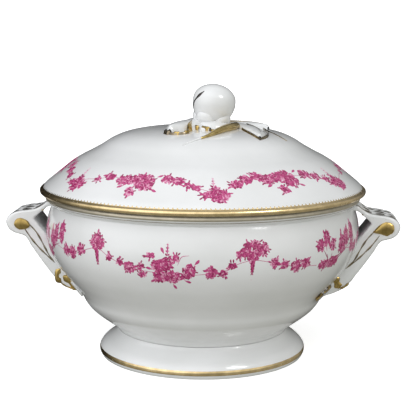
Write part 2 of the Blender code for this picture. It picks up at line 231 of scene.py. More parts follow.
def add_piece(mesh, material, body, replaces=()):
    piece = new_object(mesh.name, mesh)
    mesh.materials.append(material)
    mesh.shade_smooth()
    mesh.set_sharp_from_angle(angle=CORNER)
    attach(piece, body)
    if replaces:
        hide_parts(*replaces)


def turned_mesh(name, line, steps=TURN_STEPS, closed=True):
    """The line of (radius, height) points turned round the Z axis."""
    vertices = []
    for step in range(steps):
        angle = 2 * pi * step / steps
        vertices += [(p.x * cos(angle), p.x * sin(angle), p.y) for p in line]
    faces = grid_faces(steps, len(line), round_rows=True)
    return make_mesh(name, vertices, faces, closed)


def frame_axes(points):
    """A direction and a steady side vector at each point of a path."""
    side = None
    axes = []
    for i, point in enumerate(points):
        along = (points[min(i + 1, len(points) - 1)] - points[max(i - 1, 0)]).normalized()
        if side is None:
            side = along.cross(Vector((0, 0, 1)))
        side = (side - along * side.dot(along)).normalized()
        axes.append((along, side))
    return axes


DOME_SHARES = (0.0, 0.5, 0.85)  # the rings of a bar's domed end, as shares of its radius


def tube_mesh(name, points, radii, sides):
    """A round bar along a path, with a radius at each point and domed ends."""
    axes = frame_axes(points)

    def dome_ring(index, sign, share):
        rise = axes[index][0] * radii[index] * sqrt(1 - share * share)
        return points[index] + rise * sign, axes[index], radii[index] * share

    stations = [dome_ring(0, -1, share) for share in DOME_SHARES]
    stations += list(zip(points, axes, radii))
    stations += [dome_ring(-1, 1, share) for share in reversed(DOME_SHARES)]
    vertices = []
    for place, (along, side), radius in stations:
        up = side.cross(along)
        for k in range(sides):
            angle = 2 * pi * k / sides
            vertices.append(place + (side * cos(angle) + up * sin(angle)) * radius)
    faces = grid_faces(len(stations), sides, round_columns=True)
    return make_mesh(name, vertices, faces)


# -------- materials

def set_inputs(tree, node, inputs):
    """Sets each named input of a node to a constant, or to the socket that feeds it."""
    for name, value in inputs.items():
        if isinstance(value, bpy.types.NodeSocket):
            tree.links.new(value, node.inputs[name])
        else:
            node.inputs[name].default_value = value


def add_node(tree, kind, inputs, **settings):
    node = tree.nodes.new("ShaderNode" + kind)
    for name, value in settings.items():
        setattr(node, name, value)
    set_inputs(tree, node, inputs)
    return node


def noise(tree, scale, detail=4.0):
    """Noise in object coordinates, so that it has the same size on every piece."""
    place = tree.nodes.new("ShaderNodeTexCoord").outputs["Object"]
    texture = add_node(tree, "TexNoise", {"Vector": place, "Scale": scale, "Detail": detail})
    return texture.outputs["Fac"]


def ramp(tree, source, stops):
    """A colour that follows a number, by stops of (position, colour)."""
    node = add_node(tree, "ValToRGB", {"Fac": source})
    for position, colour in stops[1:-1]:
        node.color_ramp.elements.new(position)
    for element, (position, colour) in zip(node.color_ramp.elements, stops):
        element.position = position
        element.color = (*colour, 1.0)
    return node.outputs["Color"]


def spread(tree, source, low, high):
    """A number between low and high that follows a texture."""
    inputs = {"Value": source, "From Min": 0.3, "From Max": 0.7, "To Min": low, "To Max": high}
    return add_node(tree, "MapRange", inputs).outputs["Result"]


def bump(tree, source, strength, distance):
    inputs = {"Height": source, "Strength": strength, "Distance": distance}
    return add_node(tree, "Bump", inputs).outputs["Normal"]


def new_material(name):
    material = bpy.data.materials.new(name)
    material.use_nodes = True
    return material, material.node_tree, material.node_tree.nodes["Principled BSDF"]


def porcelain():
    """Hard white porcelain: a clear glaze with slow waves, over a body with faint clouds of tone."""
    material, tree, shader = new_material("glazed_porcelain")
    clouds = ((0.35, (0.765, 0.775, 0.775)), (0.65, (0.815, 0.822, 0.828)))
    set_inputs(tree, shader, {
        "Base Color": ramp(tree, noise(tree, 22.0), clouds),
        "Roughness": spread(tree, noise(tree, 55.0), 0.10, 0.20),
        "Normal": bump(tree, noise(tree, 90.0, 2.0), 0.10, 0.0004),
        "IOR": 1.5,
        "Coat Weight": 0.35,
        "Coat Roughness": 0.04,
    })
    return material


def gold(name, dark, bright, roughness=(0.16, 0.28)):
    """Fired and burnished gold: brush marks in its tone, roughness and surface."""
    material, tree, shader = new_material(name)
    set_inputs(tree, shader, {
        "Metallic": 1.0,
        "Base Color": ramp(tree, noise(tree, 160.0, 3.0), ((0.30, dark), (0.66, bright))),
        "Roughness": spread(tree, noise(tree, 300.0), *roughness),
        "Normal": bump(tree, noise(tree, 400.0, 2.0), 0.12, 0.0002),
    })
    return material


def enamel(name, low, high):
    """Pink enamel painted in dabs: the colour pools and thins within each dab."""
    material, tree, shader = new_material(name)
    set_inputs(tree, shader, {
        "Base Color": ramp(tree, noise(tree, 900.0, 2.0), ((0.35, low), (0.65, high))),
        "Roughness": spread(tree, noise(tree, 600.0), 0.22, 0.38),
    })
    return material


def floor_material():
    material, tree, shader = new_material("floor_white")
    clouds = ((0.35, (0.90, 0.90, 0.90)), (0.65, (0.93, 0.93, 0.93)))
    set_inputs(tree, shader, {
        "Base Color": ramp(tree, noise(tree, 3.0), clouds),
        "Roughness": 0.9,
        "Specular IOR Level": 0.0,
        "Emission Color": (1.0, 1.0, 1.0, 1.0),
        "Emission Strength": 0.6,
    })
    return material


PORCELAIN = porcelain()
GOLD = gold("burnished_gold", (0.60, 0.46, 0.24), (0.82, 0.64, 0.36))
RICH_GOLD = gold("rich_gold", (0.26, 0.18, 0.055), (0.50, 0.36, 0.13))
STEM_GOLD = gold("stem_gold", (0.38, 0.28, 0.10), (0.64, 0.49, 0.21))
# A pale gold colour for the bowl's bead: painted reflection of the gold lip, in the shade under the lid.
PAINTED_LIP_REFLECTION = gold("painted_lip_reflection", (0.46, 0.42, 0.33), (0.56, 0.51, 0.41), (0.42, 0.52))
# Near-black gold: the dark reflection in the fruit's gold seam is painted into its colour.
GOLD_PAINTED_DARK_REFLECTION = gold("gold_painted_dark_reflection", (0.045, 0.04, 0.04), (0.09, 0.08, 0.075))
DULL_GOLD = gold("dull_gold", (0.15, 0.12, 0.085), (0.30, 0.25, 0.17))
LOOKS = {  # the material of each tone that is painted with
    "gold": RICH_GOLD,
    "dull": DULL_GOLD,
    "dark": GOLD_PAINTED_DARK_REFLECTION,
    "leaf": PORCELAIN,
    "teeth": GOLD,
    "deep": enamel("enamel_deep", (0.25, 0.009, 0.080), (0.36, 0.022, 0.125)),
    "rose": enamel("enamel_rose", (0.44, 0.035, 0.165), (0.57, 0.090, 0.260)),
    "pale": enamel("enamel_pale", (0.66, 0.240, 0.410), (0.77, 0.400, 0.540)),
}


# -------- turned pieces

bowl_line = refined(cad_outline("bowl"))
lid_line = refined(cad_outline("lid"))
foot_line = refined(cad_outline("pedestal_foot"))
LIP = lid_line.index(max(lid_line, key=lambda p: p.x))  # the widest point of the lid
LID_TOP = Side(lid_line[:LIP + 1])
BEAD = bowl_line.index(max(bowl_line, key=lambda p: p.x))  # the widest point of the bowl's rim
BOWL_SIDE = Side(bowl_line[BEAD:])


def make_turned_pieces():
    on_axis = [Vector((0, bowl_line[0].y))] + bowl_line + [Vector((0, bowl_line[-1].y))]
    add_piece(turned_mesh("porcelain_bowl", on_axis), PORCELAIN, "tureen", ["bowl"])
    add_piece(turned_mesh("porcelain_lid", lid_line), PORCELAIN, "lid", ["lid"])
    foot = turned_mesh("porcelain_foot", foot_line)
    add_piece(foot, PORCELAIN, "tureen", ["pedestal_foot"])


# -------- gilding and enamel on the turned pieces

class Painter:
    """Lays thin raised strokes on surfaces, gathered by tone, and makes one piece of each tone."""

    def __init__(self):
        self.paint = {}

    def stroke(self, tone, surface, points, half_widths, thickness=ENAMEL, columns=3):
        """A stroke along points of a surface, with a rounded back and its edges just under it."""
        vertices, faces = self.paint.setdefault(tone, ([], []))
        base = len(vertices)
        for i, point in enumerate(points):
            along = (points[min(i + 1, len(points) - 1)] - points[max(i - 1, 0)]).normalized()
            across = Vector((-along.y, along.x)) * half_widths[i]
            fullness = min(1.0, half_widths[i] / (THIN_SHARE * max(half_widths)))
            for column in range(columns):
                share = 2 * column / (columns - 1) - 1
                place = point + across * share
                crown = (thickness + SUNK) * sqrt(1 - share * share) * fullness
                vertices.append(surface(place.x, place.y, crown - SUNK))
        for row in range(len(points) - 1):
            start = base + row * columns
            faces += [(a, a + 1, a + columns + 1, a + columns) for a in range(start, start + columns - 1)]

    def finish(self, prefix, body):
        for tone, (vertices, faces) in self.paint.items():
            mesh = make_mesh(f"{prefix}_{tone}", vertices, faces, closed=False)
            add_piece(mesh, LOOKS[tone], body)


THIN_SHARE = 0.3  # a stroke gets flatter where it is narrower than this share of its widest
LINE_END = 0.35  # width of a tapered line at its ends, as a share
DAB_ROWS = 6
DAB_FULLNESS = 1.3  # painted dabs come out wider than they are drawn


class Brush:
    """Paints in millimetres on a surface: x to the right and y up, from an origin that moves and turns."""

    def __init__(self, painter, surface, origin=(0.0, 0.0), turn=0.0, size=1.0):
        self.painter, self.surface = painter, surface
        self.origin, self.turn, self.size = Vector(origin), turn, size

    def place(self, x, y):
        """A point of this brush's own plane, in metres on the surface."""
        x, y = x * self.size, y * self.size
        cosine, sine = cos(radians(self.turn)), sin(radians(self.turn))
        return (self.origin + Vector((x * cosine - y * sine, x * sine + y * cosine))) * MM

    def at(self, x, y, turn):
        """A brush moved and turned within this one."""
        return Brush(self.painter, self.surface, self.place(x, y) / MM, self.turn + turn, self.size)

    def line(self, tone, points, half_width, taper=True):
        steps = smooth([self.place(x, y) for x, y in points], 0.9 * MM)
        last = len(steps) - 1
        end = LINE_END if taper else 1.0
        widths = []
        for i in range(last + 1):
            share = end + (1 - end) * sin(pi * i / last)
            widths.append(half_width * MM * self.size * share)
        self.painter.stroke(tone, self.surface, steps, widths)

    def dab(self, tone, x, y, heading, length, width, bend=0.0, lean=1.5):
        """A petal-shaped dab from a point, along a heading in degrees, bending by so many degrees."""
        points, widths = [], []
        angle = radians(heading - bend / 2)
        half_width = width * DAB_FULLNESS / 2 * MM * self.size
        for row in range(DAB_ROWS + 1):
            points.append(self.place(x, y))
            fullness = sin(pi * (row / DAB_ROWS) ** lean)
            widths.append(max(0.02, fullness) * half_width)
            x += cos(angle) * length / DAB_ROWS
            y += sin(angle) * length / DAB_ROWS
            angle += radians(bend) / DAB_ROWS
        self.painter.stroke(tone, self.surface, points, widths)


CLUSTER_GROWTH = 1.15  # clusters come out wider than they are listed
PETAL_AREA = 2.0  # mm2 of a cluster for each of its petals
GOLDEN_ANGLE = radians(137.5)
TIPS = 4  # leaf tips that stand out of a cluster
TIP_REACH, PETAL_REACH = 0.36, 0.42  # how far out they start, as shares of its width and height
TIP_LENGTHS, TIP_WIDTH = (2.6, 4.0), 1.2
PETAL_LENGTHS, PETAL_WIDTHS = (2.2, 3.6), (1.5, 2.3)
PETAL_TONES, TONE_WEIGHTS = ("deep", "rose", "pale"), (3, 5, 1.6)


def cluster(brush, x, y, width, height, seed):
    """A bunch of small flowers: overlapping petals that fill an oval, with leaf tips at its edge."""
    chance = random.Random(seed)
    for k in range(TIPS):
        angle = chance.uniform(0, 360)
        foot_x = x + cos(radians(angle)) * width * TIP_REACH
        foot_y = y + sin(radians(angle)) * height * TIP_REACH
        heading = angle + chance.uniform(-30, 30)
        length = chance.uniform(*TIP_LENGTHS)
        brush.dab("deep" if k % 2 else "rose", foot_x, foot_y, heading, length, TIP_WIDTH)
    width, height = width * CLUSTER_GROWTH, height * CLUSTER_GROWTH
    count = round(width * height / PETAL_AREA)
    for k in range(count):
        angle = GOLDEN_ANGLE * k + chance.uniform(-0.4, 0.4)
        reach = sqrt((k + 0.5) / count) * PETAL_REACH
        tone = chance.choices(PETAL_TONES, TONE_WEIGHTS)[0]
        heading = chance.uniform(0, 360)
        length = chance.uniform(*PETAL_LENGTHS)
        bend = chance.uniform(-30, 30)
        start_x = x + cos(angle) * reach * width - cos(radians(heading)) * length / 2
        start_y = y + sin(angle) * reach * height - sin(radians(heading)) * length / 2
        brush.dab(tone, start_x, start_y, heading, length, chance.uniform(*PETAL_WIDTHS), bend, lean=1.0)


def spike(brush, x, y, heading, length, tone="rose"):
    """A tall flower: small dabs in pairs that shrink towards the tip."""
    stem = brush.at(x, y, heading - 90)
    steps = 4
    for k in range(steps):
        up = length * k / steps
        reach = length * 0.26 * (1 - 0.16 * k)
        stem.dab("pale" if k % 2 else tone, 0, up, 55, reach, reach * 0.5)
        stem.dab(tone if k % 2 else "deep", 0, up, 125, reach, reach * 0.5)
    stem.dab(tone, 0, 0, 90, length, length * 0.1, lean=0.9)


def tail(brush, x, y, length):
    """A hanging tail of husks that narrows to a point."""
    steps = 5
    for k in range(steps):
        down = y - length * 0.75 * k / steps
        reach = length * 0.36 * (1 - 0.12 * k)
        width = reach * (0.50 - 0.05 * k)
        brush.dab("deep" if k % 2 else "rose", x - 0.4, down, -78 + 3 * k, reach, width)
        brush.dab("rose" if k % 2 else "deep", x + 0.4, down, -102 - 3 * k, reach, width)
    brush.line("rose", [(x, y - length * 0.6), (x, y - length)], 0.4)


def clusters_at(brush, ovals, seed):
    for k, oval in enumerate(ovals):
        cluster(brush, *oval, seed + k)


def bouquet_of_roses(brush, seed):
    """The wide bouquet at the middle of a swag on the bowl."""
    leaves = ((-11, -1, 170), (-9, -8, 215), (2, -11, -60), (10, -8, -20), (17, 3, 50), (-3, 10, 120))
    for x, y, heading in leaves:
        brush.dab("rose", x, y, heading, 6.0, 2.2, bend=20)
    brush.line("rose", [(6, 3), (9, 9), (14, 10)], 0.35)
    clusters_at(brush, ((-7, 2, 10, 10), (-1, 4, 9, 9), (-6, -6, 12, 9), (2, -6, 11, 10), (14, -1, 8, 10),
                        (11, -5, 7, 5), (-13, 9, 6, 3.5), (5, 8, 4, 4)), seed)
    spike(brush, -1, 9, 88, 10)


def bouquet_of_tulips(brush, seed):
    """The bouquet of upright flames whose roses lie below it."""
    flames = ((-14, -6, 98, 20), (-8, -6, 112, 14), (4, -8, 84, 20), (12, -6, 76, 20), (20, -3, 78, 20),
              (-18, -3, 120, 8))
    for x, y, heading, length in flames:
        brush.dab("rose", x, y, heading, length, 3.2, bend=-16)
        brush.line("deep", [(x, y), ((x - 10) / 2, y - 5), (-10, -13)], 0.5)
        brush.dab("pale", x + 1.2, y + 2, heading, length * 0.6, 1.8, bend=-16)
    clusters_at(brush, ((-21, 1, 8, 9), (-14, 6, 6, 9), (-7, 0, 5, 9), (6, -2, 11, 13), (13, 3, 8, 13),
                        (23, 5, 8, 16), (-15, -14, 14, 7), (-5, -13, 13, 8)), seed)


def drop_with_spike(brush, seed):
    """The narrow drop between two swags of the bowl."""
    tail(brush, 0, 3, 18)
    clusters_at(brush, ((0, 4, 11, 8), (-3, 7, 5, 5), (4, 6.5, 5, 5), (0.5, 9.5, 5, 6)), seed)
    brush.dab("rose", 0, 10, 92, 5.5, 2.0)


def drop_with_fan(brush, seed):
    """The broad drop, which opens upwards like a fan."""
    tail(brush, 0, 3.5, 17)
    clusters_at(brush, ((0, 4, 8, 8), (-5, 7, 9, 6), (5, 7, 9, 6), (-9, 6, 5, 5), (8.5, 10, 6, 7),
                        (-3, 11.5, 7, 5), (2.5, 12.5, 6, 6)), seed)


def lid_bouquet(brush, seed):
    ovals = ((3, 3, 14, 9), (5, -2, 12, 8), (-5, 2, 9, 8), (-11, 1, 9, 8), (-3, -8, 5, 7))
    clusters_at(brush, ovals, seed)
    for x, y, heading in ((-8, -3, 210), (9, -4, -30), (-1, -6, -70), (10, 5, 30)):
        brush.dab("rose", x, y, heading, 5.5, 2.0, bend=20)


def lid_drop(brush, seed):
    ovals = ((0, 0, 9, 8), (5, -1.5, 7, 7), (-5, -1, 7, 5), (1, -5, 7, 4), (0, 4, 4, 4))
    clusters_at(brush, ovals, seed)
    spike(brush, -1, 5, 92, 9, tone="pale")


class SwagSide:
    """A turned side with painted swags. Its places are an azimuth in degrees and a measure in mm, down
    from the rim (axis 1) or inwards from the edge (axis 0)."""

    def __init__(self, side, axis, datum):
        self.side, self.axis, self.datum = side, axis, datum
        self.painter = Painter()

    def locate(self, place):
        return radians(place[0]), self.side.where(self.datum - place[1] * MM, self.axis)

    def brush(self, azimuth, measure, size=1.0):
        return Brush(self.painter, self.side.around(*self.locate((azimuth, measure))), size=size)

    def stem(self, places):
        """A thin stem along places."""
        points = smooth(places, 1.5)
        for start, end in zip(points, points[1:]):
            (azimuth, distance), (far_azimuth, far_distance) = self.locate(start), self.locate(end)
            across = (far_azimuth - azimuth) * self.side.at(distance)[0].x / MM
            line = [(0, 0), (across, (distance - far_distance) / MM)]
            self.brush(*start).line("rose", line, 0.28, taper=False)

    def string(self, turn, clusters, stems, seed, size=1.0):
        """Small clusters along a swag, and the stems that join them."""
        for places in stems:
            self.stem([(azimuth + turn, measure) for azimuth, measure in places])
        for k, (azimuth, measure, width, height) in enumerate(clusters):
            cluster(self.brush(azimuth + turn, measure, size), 0, 0, width, height, seed + k)


REPEATS = 3  # the painted pattern has two swags, and goes three times round
REPEAT = 360 // REPEATS
TULIP_AZIMUTHS = (57.5, 177.0, 294.5)
LID_DROP_AZIMUTHS = (64.5, 187.0, 309.0)
LID_SIZE = 1.15  # the flowers of the lid are drawn larger by this much

# Clusters between the bouquets: azimuth, mm below the rim or inwards from the lid's edge, width, height.
BOWL_CLUSTERS = (
    (-51, 33, 8, 8), (-47, 34, 8, 9), (-42, 30, 8, 8), (-29, 32, 4.5, 4.5), (-25, 34.5, 5.5, 4.5),
    (-21.3, 37.6, 9, 8), (-17.2, 36.5, 5, 5), (-17, 42, 5.5, 4.5), (6.3, 39, 8, 9), (10.3, 40, 5.5, 5),
    (13.3, 34.5, 5.5, 4), (28, 34, 6.5, 7), (31.7, 36, 6.5, 5.5), (36.5, 38, 9, 9), (40.5, 36.5, 8, 7),
)
BOWL_STEMS = (
    ((-61, 31), (-50, 34), (-42, 31), (-34, 27), (-29, 32), (-21, 38), (-12, 40)),
    ((0, 41), (10, 38.5), (14, 34), (20, 31), (28, 34), (36, 38), (46, 40)),
)
LID_CLUSTERS = (
    (-41, 19, 4.5, 3.5), (-35.5, 22, 8, 6), (-10, 23, 8, 6.5), (-6, 22, 8, 6), (-2, 18.8, 5, 4),
    (1.5, 17, 4.5, 4), (16, 19.5, 8, 6.5), (20.3, 23, 8, 7), (25, 25.5, 8, 6.5), (48.5, 24, 9, 7),
    (54, 21, 8, 6), (59, 17.5, 5.5, 5),
)
LID_STEMS = (
    ((-52, 15), (-46, 18), (-41, 19), (-35, 22), (-28, 21)),
    ((-12, 23), (-6, 22), (0, 18), (8, 13.5)),
    ((8, 13.5), (14, 17.5), (20, 23), (27, 25)),
    ((42, 24), (52, 21), (60, 16), (67, 14)),
)


def paint_swags():
    """Six swags round the bowl and six round the lid: a bouquet in each, and a drop where two meet."""
    bowl = SwagSide(BOWL_SIDE, axis=1, datum=BOWL_HIGH.z)
    lid = SwagSide(LID_TOP, axis=0, datum=LID_HIGH.x)
    for k in range(REPEATS):
        turn, seed = REPEAT * k, 100 * k
        bowl.string(turn, BOWL_CLUSTERS, BOWL_STEMS, seed)
        bouquet_of_roses(bowl.brush(turn - 7.5, 37), seed + 20)
        bouquet_of_tulips(bowl.brush(TULIP_AZIMUTHS[k], 27), seed + 30)
        drop_with_spike(bowl.brush(turn - 34.2, 28.5), seed + 40)
        drop_with_fan(bowl.brush(turn + 20, 32.5), seed + 50)
        lid.string(turn, LID_CLUSTERS, LID_STEMS, seed + 60, LID_SIZE)
        lid_bouquet(lid.brush(turn - 21.5, 19.5, LID_SIZE), seed + 80)
        lid_bouquet(lid.brush(turn + 36, 21.5, LID_SIZE), seed + 85)
        lid_drop(lid.brush(turn + 8, 13, LID_SIZE), seed + 90)
        lid_drop(lid.brush(LID_DROP_AZIMUTHS[k], 14.5, LID_SIZE), seed + 95)
    bowl.painter.finish("bowl_garland", "tureen")
    lid.painter.finish("lid_garland", "lid")


def band_mesh(name, line):
    """A closed, very thin ring that covers a stretch of an outline."""
    side = Side(line)
    outer = [p + side.at(d)[1] * GILDING for p, d in zip(line, side.distance)]
    inner = [p - side.at(d)[1] * SUNK for p, d in zip(line, side.distance)]
    return turned_mesh(name, outer + inner[::-1] + outer[:1])


def between(line, low, high):
    """The stretch of an outline that lies between two heights."""
    steps = 5
    points = [a.lerp(b, k / steps) for a, b in zip(line, line[1:]) for k in range(steps)]
    return [p for p in points if low <= p.y <= high]


LIP_GOLD = 3.4 * MM  # how far in from its edge the lid is gilded
LIP_TEETH = 240  # small gold teeth along the top of the lip
BEAD_REFLECTION = (3.8 * MM, 2.6 * MM)  # the painted reflection of the gold lip on the bead goes down and in from its edge by these
NECK_LINE = (5.8 * MM, 4.9 * MM)  # the dull line under the bead, below the rim
FOOT_BAND = (2.8 * MM, 6.9 * MM)  # the gold band, above the ground


def make_gilding():
    """Gold on the lid's lip with its comb of teeth and in a band round the foot; on the bowl's bead, a
    pale gold band paints the lip's reflection in the shade under the lid.
    """
    rim = BOWL_HIGH.z
    start = next(i for i, p in enumerate(lid_line) if p.x > LID_HIGH.x - LIP_GOLD)
    end = next(i for i in range(LIP, len(lid_line)) if lid_line[i].y < rim + 0.5 * MM)
    add_piece(band_mesh("gilded_lip", lid_line[start:end]), GOLD, "lid")
    painter = Painter()
    for k in range(LIP_TEETH):
        brush = Brush(painter, LID_TOP.around(2 * pi * k / LIP_TEETH, LID_TOP.distance[start]))
        brush.dab("teeth", 0, -0.6, 90, 1.9, 1.4, lean=0.75)
    painter.finish("gilded_lip", "lid")

    # The bead's band is a painted reflection of the gold lip, in the shade under the lid.
    bead = between(bowl_line, rim - BEAD_REFLECTION[0], rim)
    bead = [p for p in bead if p.x > bowl_line[BEAD].x - BEAD_REFLECTION[1]]
    add_piece(band_mesh("bead_painted_lip_reflection", bead), PAINTED_LIP_REFLECTION, "tureen")
    below_bead = between(BOWL_SIDE.line, rim - NECK_LINE[0], rim - NECK_LINE[1])
    add_piece(band_mesh("gilded_neck_line", below_bead), DULL_GOLD, "tureen")
    outside = foot_line[:foot_line.index(min(foot_line[5:], key=lambda p: p.y))]
    band = between(outside, FOOT_LOW.z + FOOT_BAND[0], FOOT_LOW.z + FOOT_BAND[1])
    add_piece(band_mesh("gilded_foot_band", band), GOLD, "tureen")


# -------- handles

FLUTES = 4  # lengthwise ridges on the outer face of each handle
FLUTE_DEPTH = 2.0 * MM
OUTER_EDGE = 3.0 * MM  # rounding of the handle's outer edges
INNER_EDGE = 1.3 * MM

# The handle from the side, as pairs of (outer, inner) points: mm inwards from the outside of the curl and
# mm above its middle. The lower pairs end inside the bowl's wall.
HANDLE_PAIRS = (
    ((40, 17), (40, 12)), ((33, 17.2), (35, 13)), ((29, 14.6), (31.5, 11.8)),
    ((23.5, 11.2), (28, 8.8)), ((17, 9.8), (24.8, 6)), ((11, 9), (23.4, 4.8)),
    ((5.6, 7.4), (22.8, 4.1)), ((1.5, 4.2), (22.5, 3.5)), ((0, -0.2), (22.4, 3)),
    ((1.8, -5), (22.9, 2.1)), ((5.5, -8), (23.9, 0.8)), ((10, -9.4), (25.4, -1.2)),
    ((14.4, -11), (27.4, -3.8)), ((20, -19.4), (31.4, -8.8)), ((26, -28), (35, -16)),
    ((31.6, -35.6), (40.7, -27)), ((37, -42.4), (47.7, -37)), ((42.4, -47.4), (54.5, -46)),
    ((48.6, -51), (57.7, -50)), ((56, -53.6), (59.5, -53)), ((60.6, -55.4), (61, -54.4)),
)


def curl_line(points):
    return [Vector((CURL_X - x * MM, CURL_Z + y * MM)) for x, y in points]


class Strap:
    """The outer face of a handle: x metres across it, y metres along it from the neck, and a lift."""

    def __init__(self, sign):
        self.sign = sign
        steps = [6] * (len(HANDLE_PAIRS) - 1)
        self.outer, self.inner = (spline(curl_line(line), steps) for line in zip(*HANDLE_PAIRS))
        self.distance = Side(self.outer).distance

    def groove(self, x, along):
        """Depth of the flutes across the face; they fade out down the lower arm."""
        ridge = abs(sin(pi * FLUTES * (x / HANDLE_HALF + 1) / 2)) ** 0.8
        fade = min(1.0, max(0.25, 2.2 - 2.6 * along / self.distance[-1]))
        return FLUTE_DEPTH * fade * (1 - ridge)

    def surface(self, x, y, lift):
        y = min(max(y, 0.0), self.distance[-1])
        i = max(1, next(n for n, d in enumerate(self.distance) if d >= y - 1e-9))
        share = (y - self.distance[i - 1]) / (self.distance[i] - self.distance[i - 1])
        outer = self.outer[i - 1].lerp(self.outer[i], share)
        inner = self.inner[i - 1].lerp(self.inner[i], share)
        rounded = max(0.0, abs(x) - (HANDLE_HALF - OUTER_EDGE))
        drop = OUTER_EDGE - sqrt(max(0.0, OUTER_EDGE ** 2 - rounded ** 2))
        place = outer + (inner - outer).normalized() * (self.groove(x, y) + drop - lift)
        return Vector((self.sign * place.x, x, place.y))

    def flank(self, face):
        """The flat side of the handle: x metres from the bowl's axis, y metres up, and a lift."""
        return lambda x, y, lift: Vector((self.sign * x, face * (HANDLE_HALF + lift), y))

    def wall(self, face):
        """The bowl's wall beside the handle, measured in the same way as its flank."""
        def surface(x, y, lift):
            radius = BOWL_SIDE.at(BOWL_SIDE.where(y, 1))[0].x + lift
            return Vector((self.sign * x, face * sqrt(max(0.0, radius ** 2 - x ** 2)), y))

        return surface

    def section(self, index):
        """(across, depth) points round the handle at one station."""
        thickness = (self.inner[index] - self.outer[index]).length
        outer_edge = min(OUTER_EDGE, thickness * 0.55)
        inner_edge = min(INNER_EDGE, thickness * 0.3)
        half = HANDLE_HALF
        right = []
        for k in range(1, 6):
            angle = pi / 2 * k / 5
            right.append((half - outer_edge + outer_edge * sin(angle), outer_edge * (1 - cos(angle))))
        for k in range(1, 14):
            right.append((half, outer_edge + (thickness - outer_edge - inner_edge) * k / 14))
        for k in range(5):
            angle = pi / 2 * k / 4
            right.append((half - inner_edge + inner_edge * cos(angle),
                          thickness - inner_edge + inner_edge * sin(angle)))
        face = half - outer_edge
        across = [-face + 2 * face * k / 40 for k in range(41)]
        top = [(x, self.groove(x, self.distance[index])) for x in across]
        edge_groove = self.groove(face, self.distance[index])
        right = [(x, v + edge_groove * max(0.0, 1 - v / outer_edge)) for x, v in right]
        return top + right + [(-x, v) for x, v in reversed(right)]

    def mesh(self, name):
        vertices = []
        for index, (outer, inner) in enumerate(zip(self.outer, self.inner)):
            inward = (inner - outer).normalized()
            for across, depth in self.section(index):
                place = outer + inward * depth
                vertices.append((self.sign * place.x, across, place.y))
        count = len(vertices) // len(self.outer)
        faces = grid_faces(len(self.outer), count, round_columns=True)
        faces.append(tuple(range(count)))
        faces.append(tuple(range(len(vertices) - count, len(vertices))))
        return make_mesh(name, vertices, faces)


# Gold on the side of each handle, in mm inwards from the outside of the curl and mm above its middle:
# the eye with its half width and how much it narrows inwards, and the two lines that run down from it.
EYES = {
    "left": (((7, -1.2), (11, -1), (15, -1.4), (19.2, -2.4)), 4.7, 0.25),
    "right": (((5.1, -1.4), (9, -0.6), (14, -1), (21, -3.2)), 5.6, 0.62),
}
EYE_LINES = {
    "left": (
        ((18.2, -0.6), (24.4, -7.7), (30.5, -19.1), (33.8, -25.3), (38, -31)),
        ((14.6, -4), (19.8, -11.8), (25.3, -18.6), (30.4, -23.7), (37.6, -30.6)),
    ),
    "right": (
        ((19.8, -2.4), (25, -8.3), (30.3, -16.9), (34.5, -24.9), (40.9, -31.8)),
        ((15.8, -5.6), (22.1, -13.9), (26.9, -19.1), (32.8, -24.9), (40.2, -31.2)),
    ),
}
# The marks on the leaf at the lower end: path, half width, and whether they lie on the handle or the bowl.
LEAF_MARKS = {
    "left": (
        (((42, -35.6), (39.8, -39.4), (39.6, -43), (42.4, -46.8)), 2, "flank"),
        (((44.4, -41.2), (49.5, -45.5), (52.9, -49.2), (56.4, -52)), 2.5, "flank"),
        (((42.4, -46.8), (46.4, -49.4), (50.6, -51), (54.6, -52)), 0.6, "flank"),
    ),
    "right": (
        (((48.6, -37.8), (47.2, -42.6), (45.4, -47)), 2.8, "flank"),
        (((44.6, -47.2), (41, -45.6), (38, -42.6)), 0.8, "flank"),
        (((52.4, -42), (55, -44.6), (58, -45.6)), 1.5, "wall"),
        (((58, -46.2), (61, -48.8), (63.6, -51.4)), 1.8, "wall"),
    ),
}
LOBE = ((50, -45), (56, -47.4), (62.5, -52.4))  # the porcelain lobe of the leaf on the bowl's wall
LOBE_HALF_WIDTH = 3.6
MARK_RISE = {"flank": 0.9 * MM, "wall": 3.0 * MM}


def varied(points, half_width, waves, depth=0.3):
    """Half widths along a hand-painted line, which swells and thins, with round ends."""
    last = len(points) - 1
    widths = []
    for i in range(last + 1):
        swell = 1 + depth * sin(waves * pi * i / last)
        end = min(1.0, 0.3 + 4.0 * min(i, last - i) / last)
        widths.append(half_width * MM * swell * end)
    return widths


def eye_half_widths(path, half_width, narrowing):
    """Half widths of a rounded drop, narrower towards the end of its path."""
    last = len(path) - 1
    result = []
    for i in range(last + 1):
        share = 2 * i / last - 1
        rounding = max(0.0, 1 - abs(share) ** 2.6) ** 0.5
        result.append(half_width * MM * rounding * (1 - narrowing * max(0.0, share + 0.25)))
    return result


def paint_stripes(painter, strap):
    """Wavy gold lines along the grooves of a handle's outer face."""
    length = strap.distance[-1]
    for groove in range(FLUTES + 1):
        x = HANDLE_HALF * (2 * groove / FLUTES - 1)
        edge = groove in (0, FLUTES)
        x *= 0.90 if edge else 1.0
        start, end = 0.03 + 0.02 * (groove % 2), 0.36 + 0.05 * (groove % 3)
        path = []
        for k in range(10):
            wave = 0.7 * MM * sin(3.1 * k + groove)
            path.append((x + wave, length * (start + (end - start) * k / 9)))
        path = smooth(path, MM)
        widths = varied(path, 1.4 if edge else 2.1, 9 + groove, 0.4)
        painter.stroke("dull", strap.surface, path, widths, 0.4 * MM, columns=11)


def paint_face_leaf(painter, strap):
    """The raised leaf at the lower end of a handle's outer face."""
    length, last = strap.distance[-1], 40
    path, half_widths = [], []
    for k in range(last + 1):
        path.append(Vector((0.0, length * (0.74 + 0.255 * k / last))))
        lobe = sin(pi * min(1.0, 0.12 + 0.9 * k / last)) ** 0.6
        wave = sin(5 * pi * k / last)
        half_widths.append(HANDLE_HALF * (0.30 + 0.64 * lobe + 0.05 * wave))
    painter.stroke("leaf", strap.surface, path, half_widths, 1.2 * MM, columns=25)


